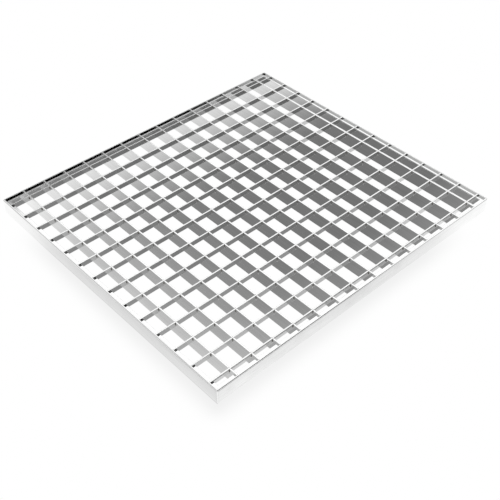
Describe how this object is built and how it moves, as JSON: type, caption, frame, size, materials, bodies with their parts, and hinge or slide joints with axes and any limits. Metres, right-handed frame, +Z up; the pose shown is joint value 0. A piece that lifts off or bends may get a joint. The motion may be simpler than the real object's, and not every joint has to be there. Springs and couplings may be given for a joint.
{
  "type": "floor drain grate",
  "caption": "Rectangular floor drain grate: upright bearing bars with shallow cross bars pressed flush into their slots, closed by a mitred edge frame with an inner ledge.",
  "frame": {"origin": "centre of the footprint, on the plane that the underside of the edge frame stands on", "axes": "+Z up through the walking surface, X across the bearing bars (the long side), Y along the bearing bars"},
  "size_m": [0.493, 0.4488, 0.0215],
  "materials": {
    "edge_bar_steel": "bright polished, with faint drawing lines along the strip",
    "bearing_bar_steel": "bright rolled strip, polished on top",
    "cross_bar_steel": "bright rolled strip, polished on top"
  },
  "bodies": {
    "root": {"edge_bar_front": "edge_bar_steel", "edge_bar_right": "edge_bar_steel", "edge_bar_rear": "edge_bar_steel", "edge_bar_left": "edge_bar_steel", "bearing_bar_01": "bearing_bar_steel", "bearing_bar_02": "bearing_bar_steel", "bearing_bar_03": "bearing_bar_steel", "bearing_bar_04": "bearing_bar_steel", "bearing_bar_05": "bearing_bar_steel", "bearing_bar_06": "bearing_bar_steel", "bearing_bar_07": "bearing_bar_steel", "bearing_bar_08": "bearing_bar_steel", "bearing_bar_09": "bearing_bar_steel", "bearing_bar_10": "bearing_bar_steel", "bearing_bar_11": "bearing_bar_steel", "bearing_bar_12": "bearing_bar_steel", "bearing_bar_13": "bearing_bar_steel", "bearing_bar_14": "bearing_bar_steel", "cross_bar_01": "cross_bar_steel", "cross_bar_02": "cross_bar_steel", "cross_bar_03": "cross_bar_steel", "cross_bar_04": "cross_bar_steel", "cross_bar_05": "cross_bar_steel", "cross_bar_06": "cross_bar_steel", "cross_bar_07": "cross_bar_steel", "cross_bar_08": "cross_bar_steel", "cross_bar_09": "cross_bar_steel", "cross_bar_10": "cross_bar_steel", "cross_bar_11": "cross_bar_steel", "cross_bar_12": "cross_bar_steel", "cross_bar_13": "cross_bar_steel", "cross_bar_14": "cross_bar_steel"}
  },
  "joints": []
}
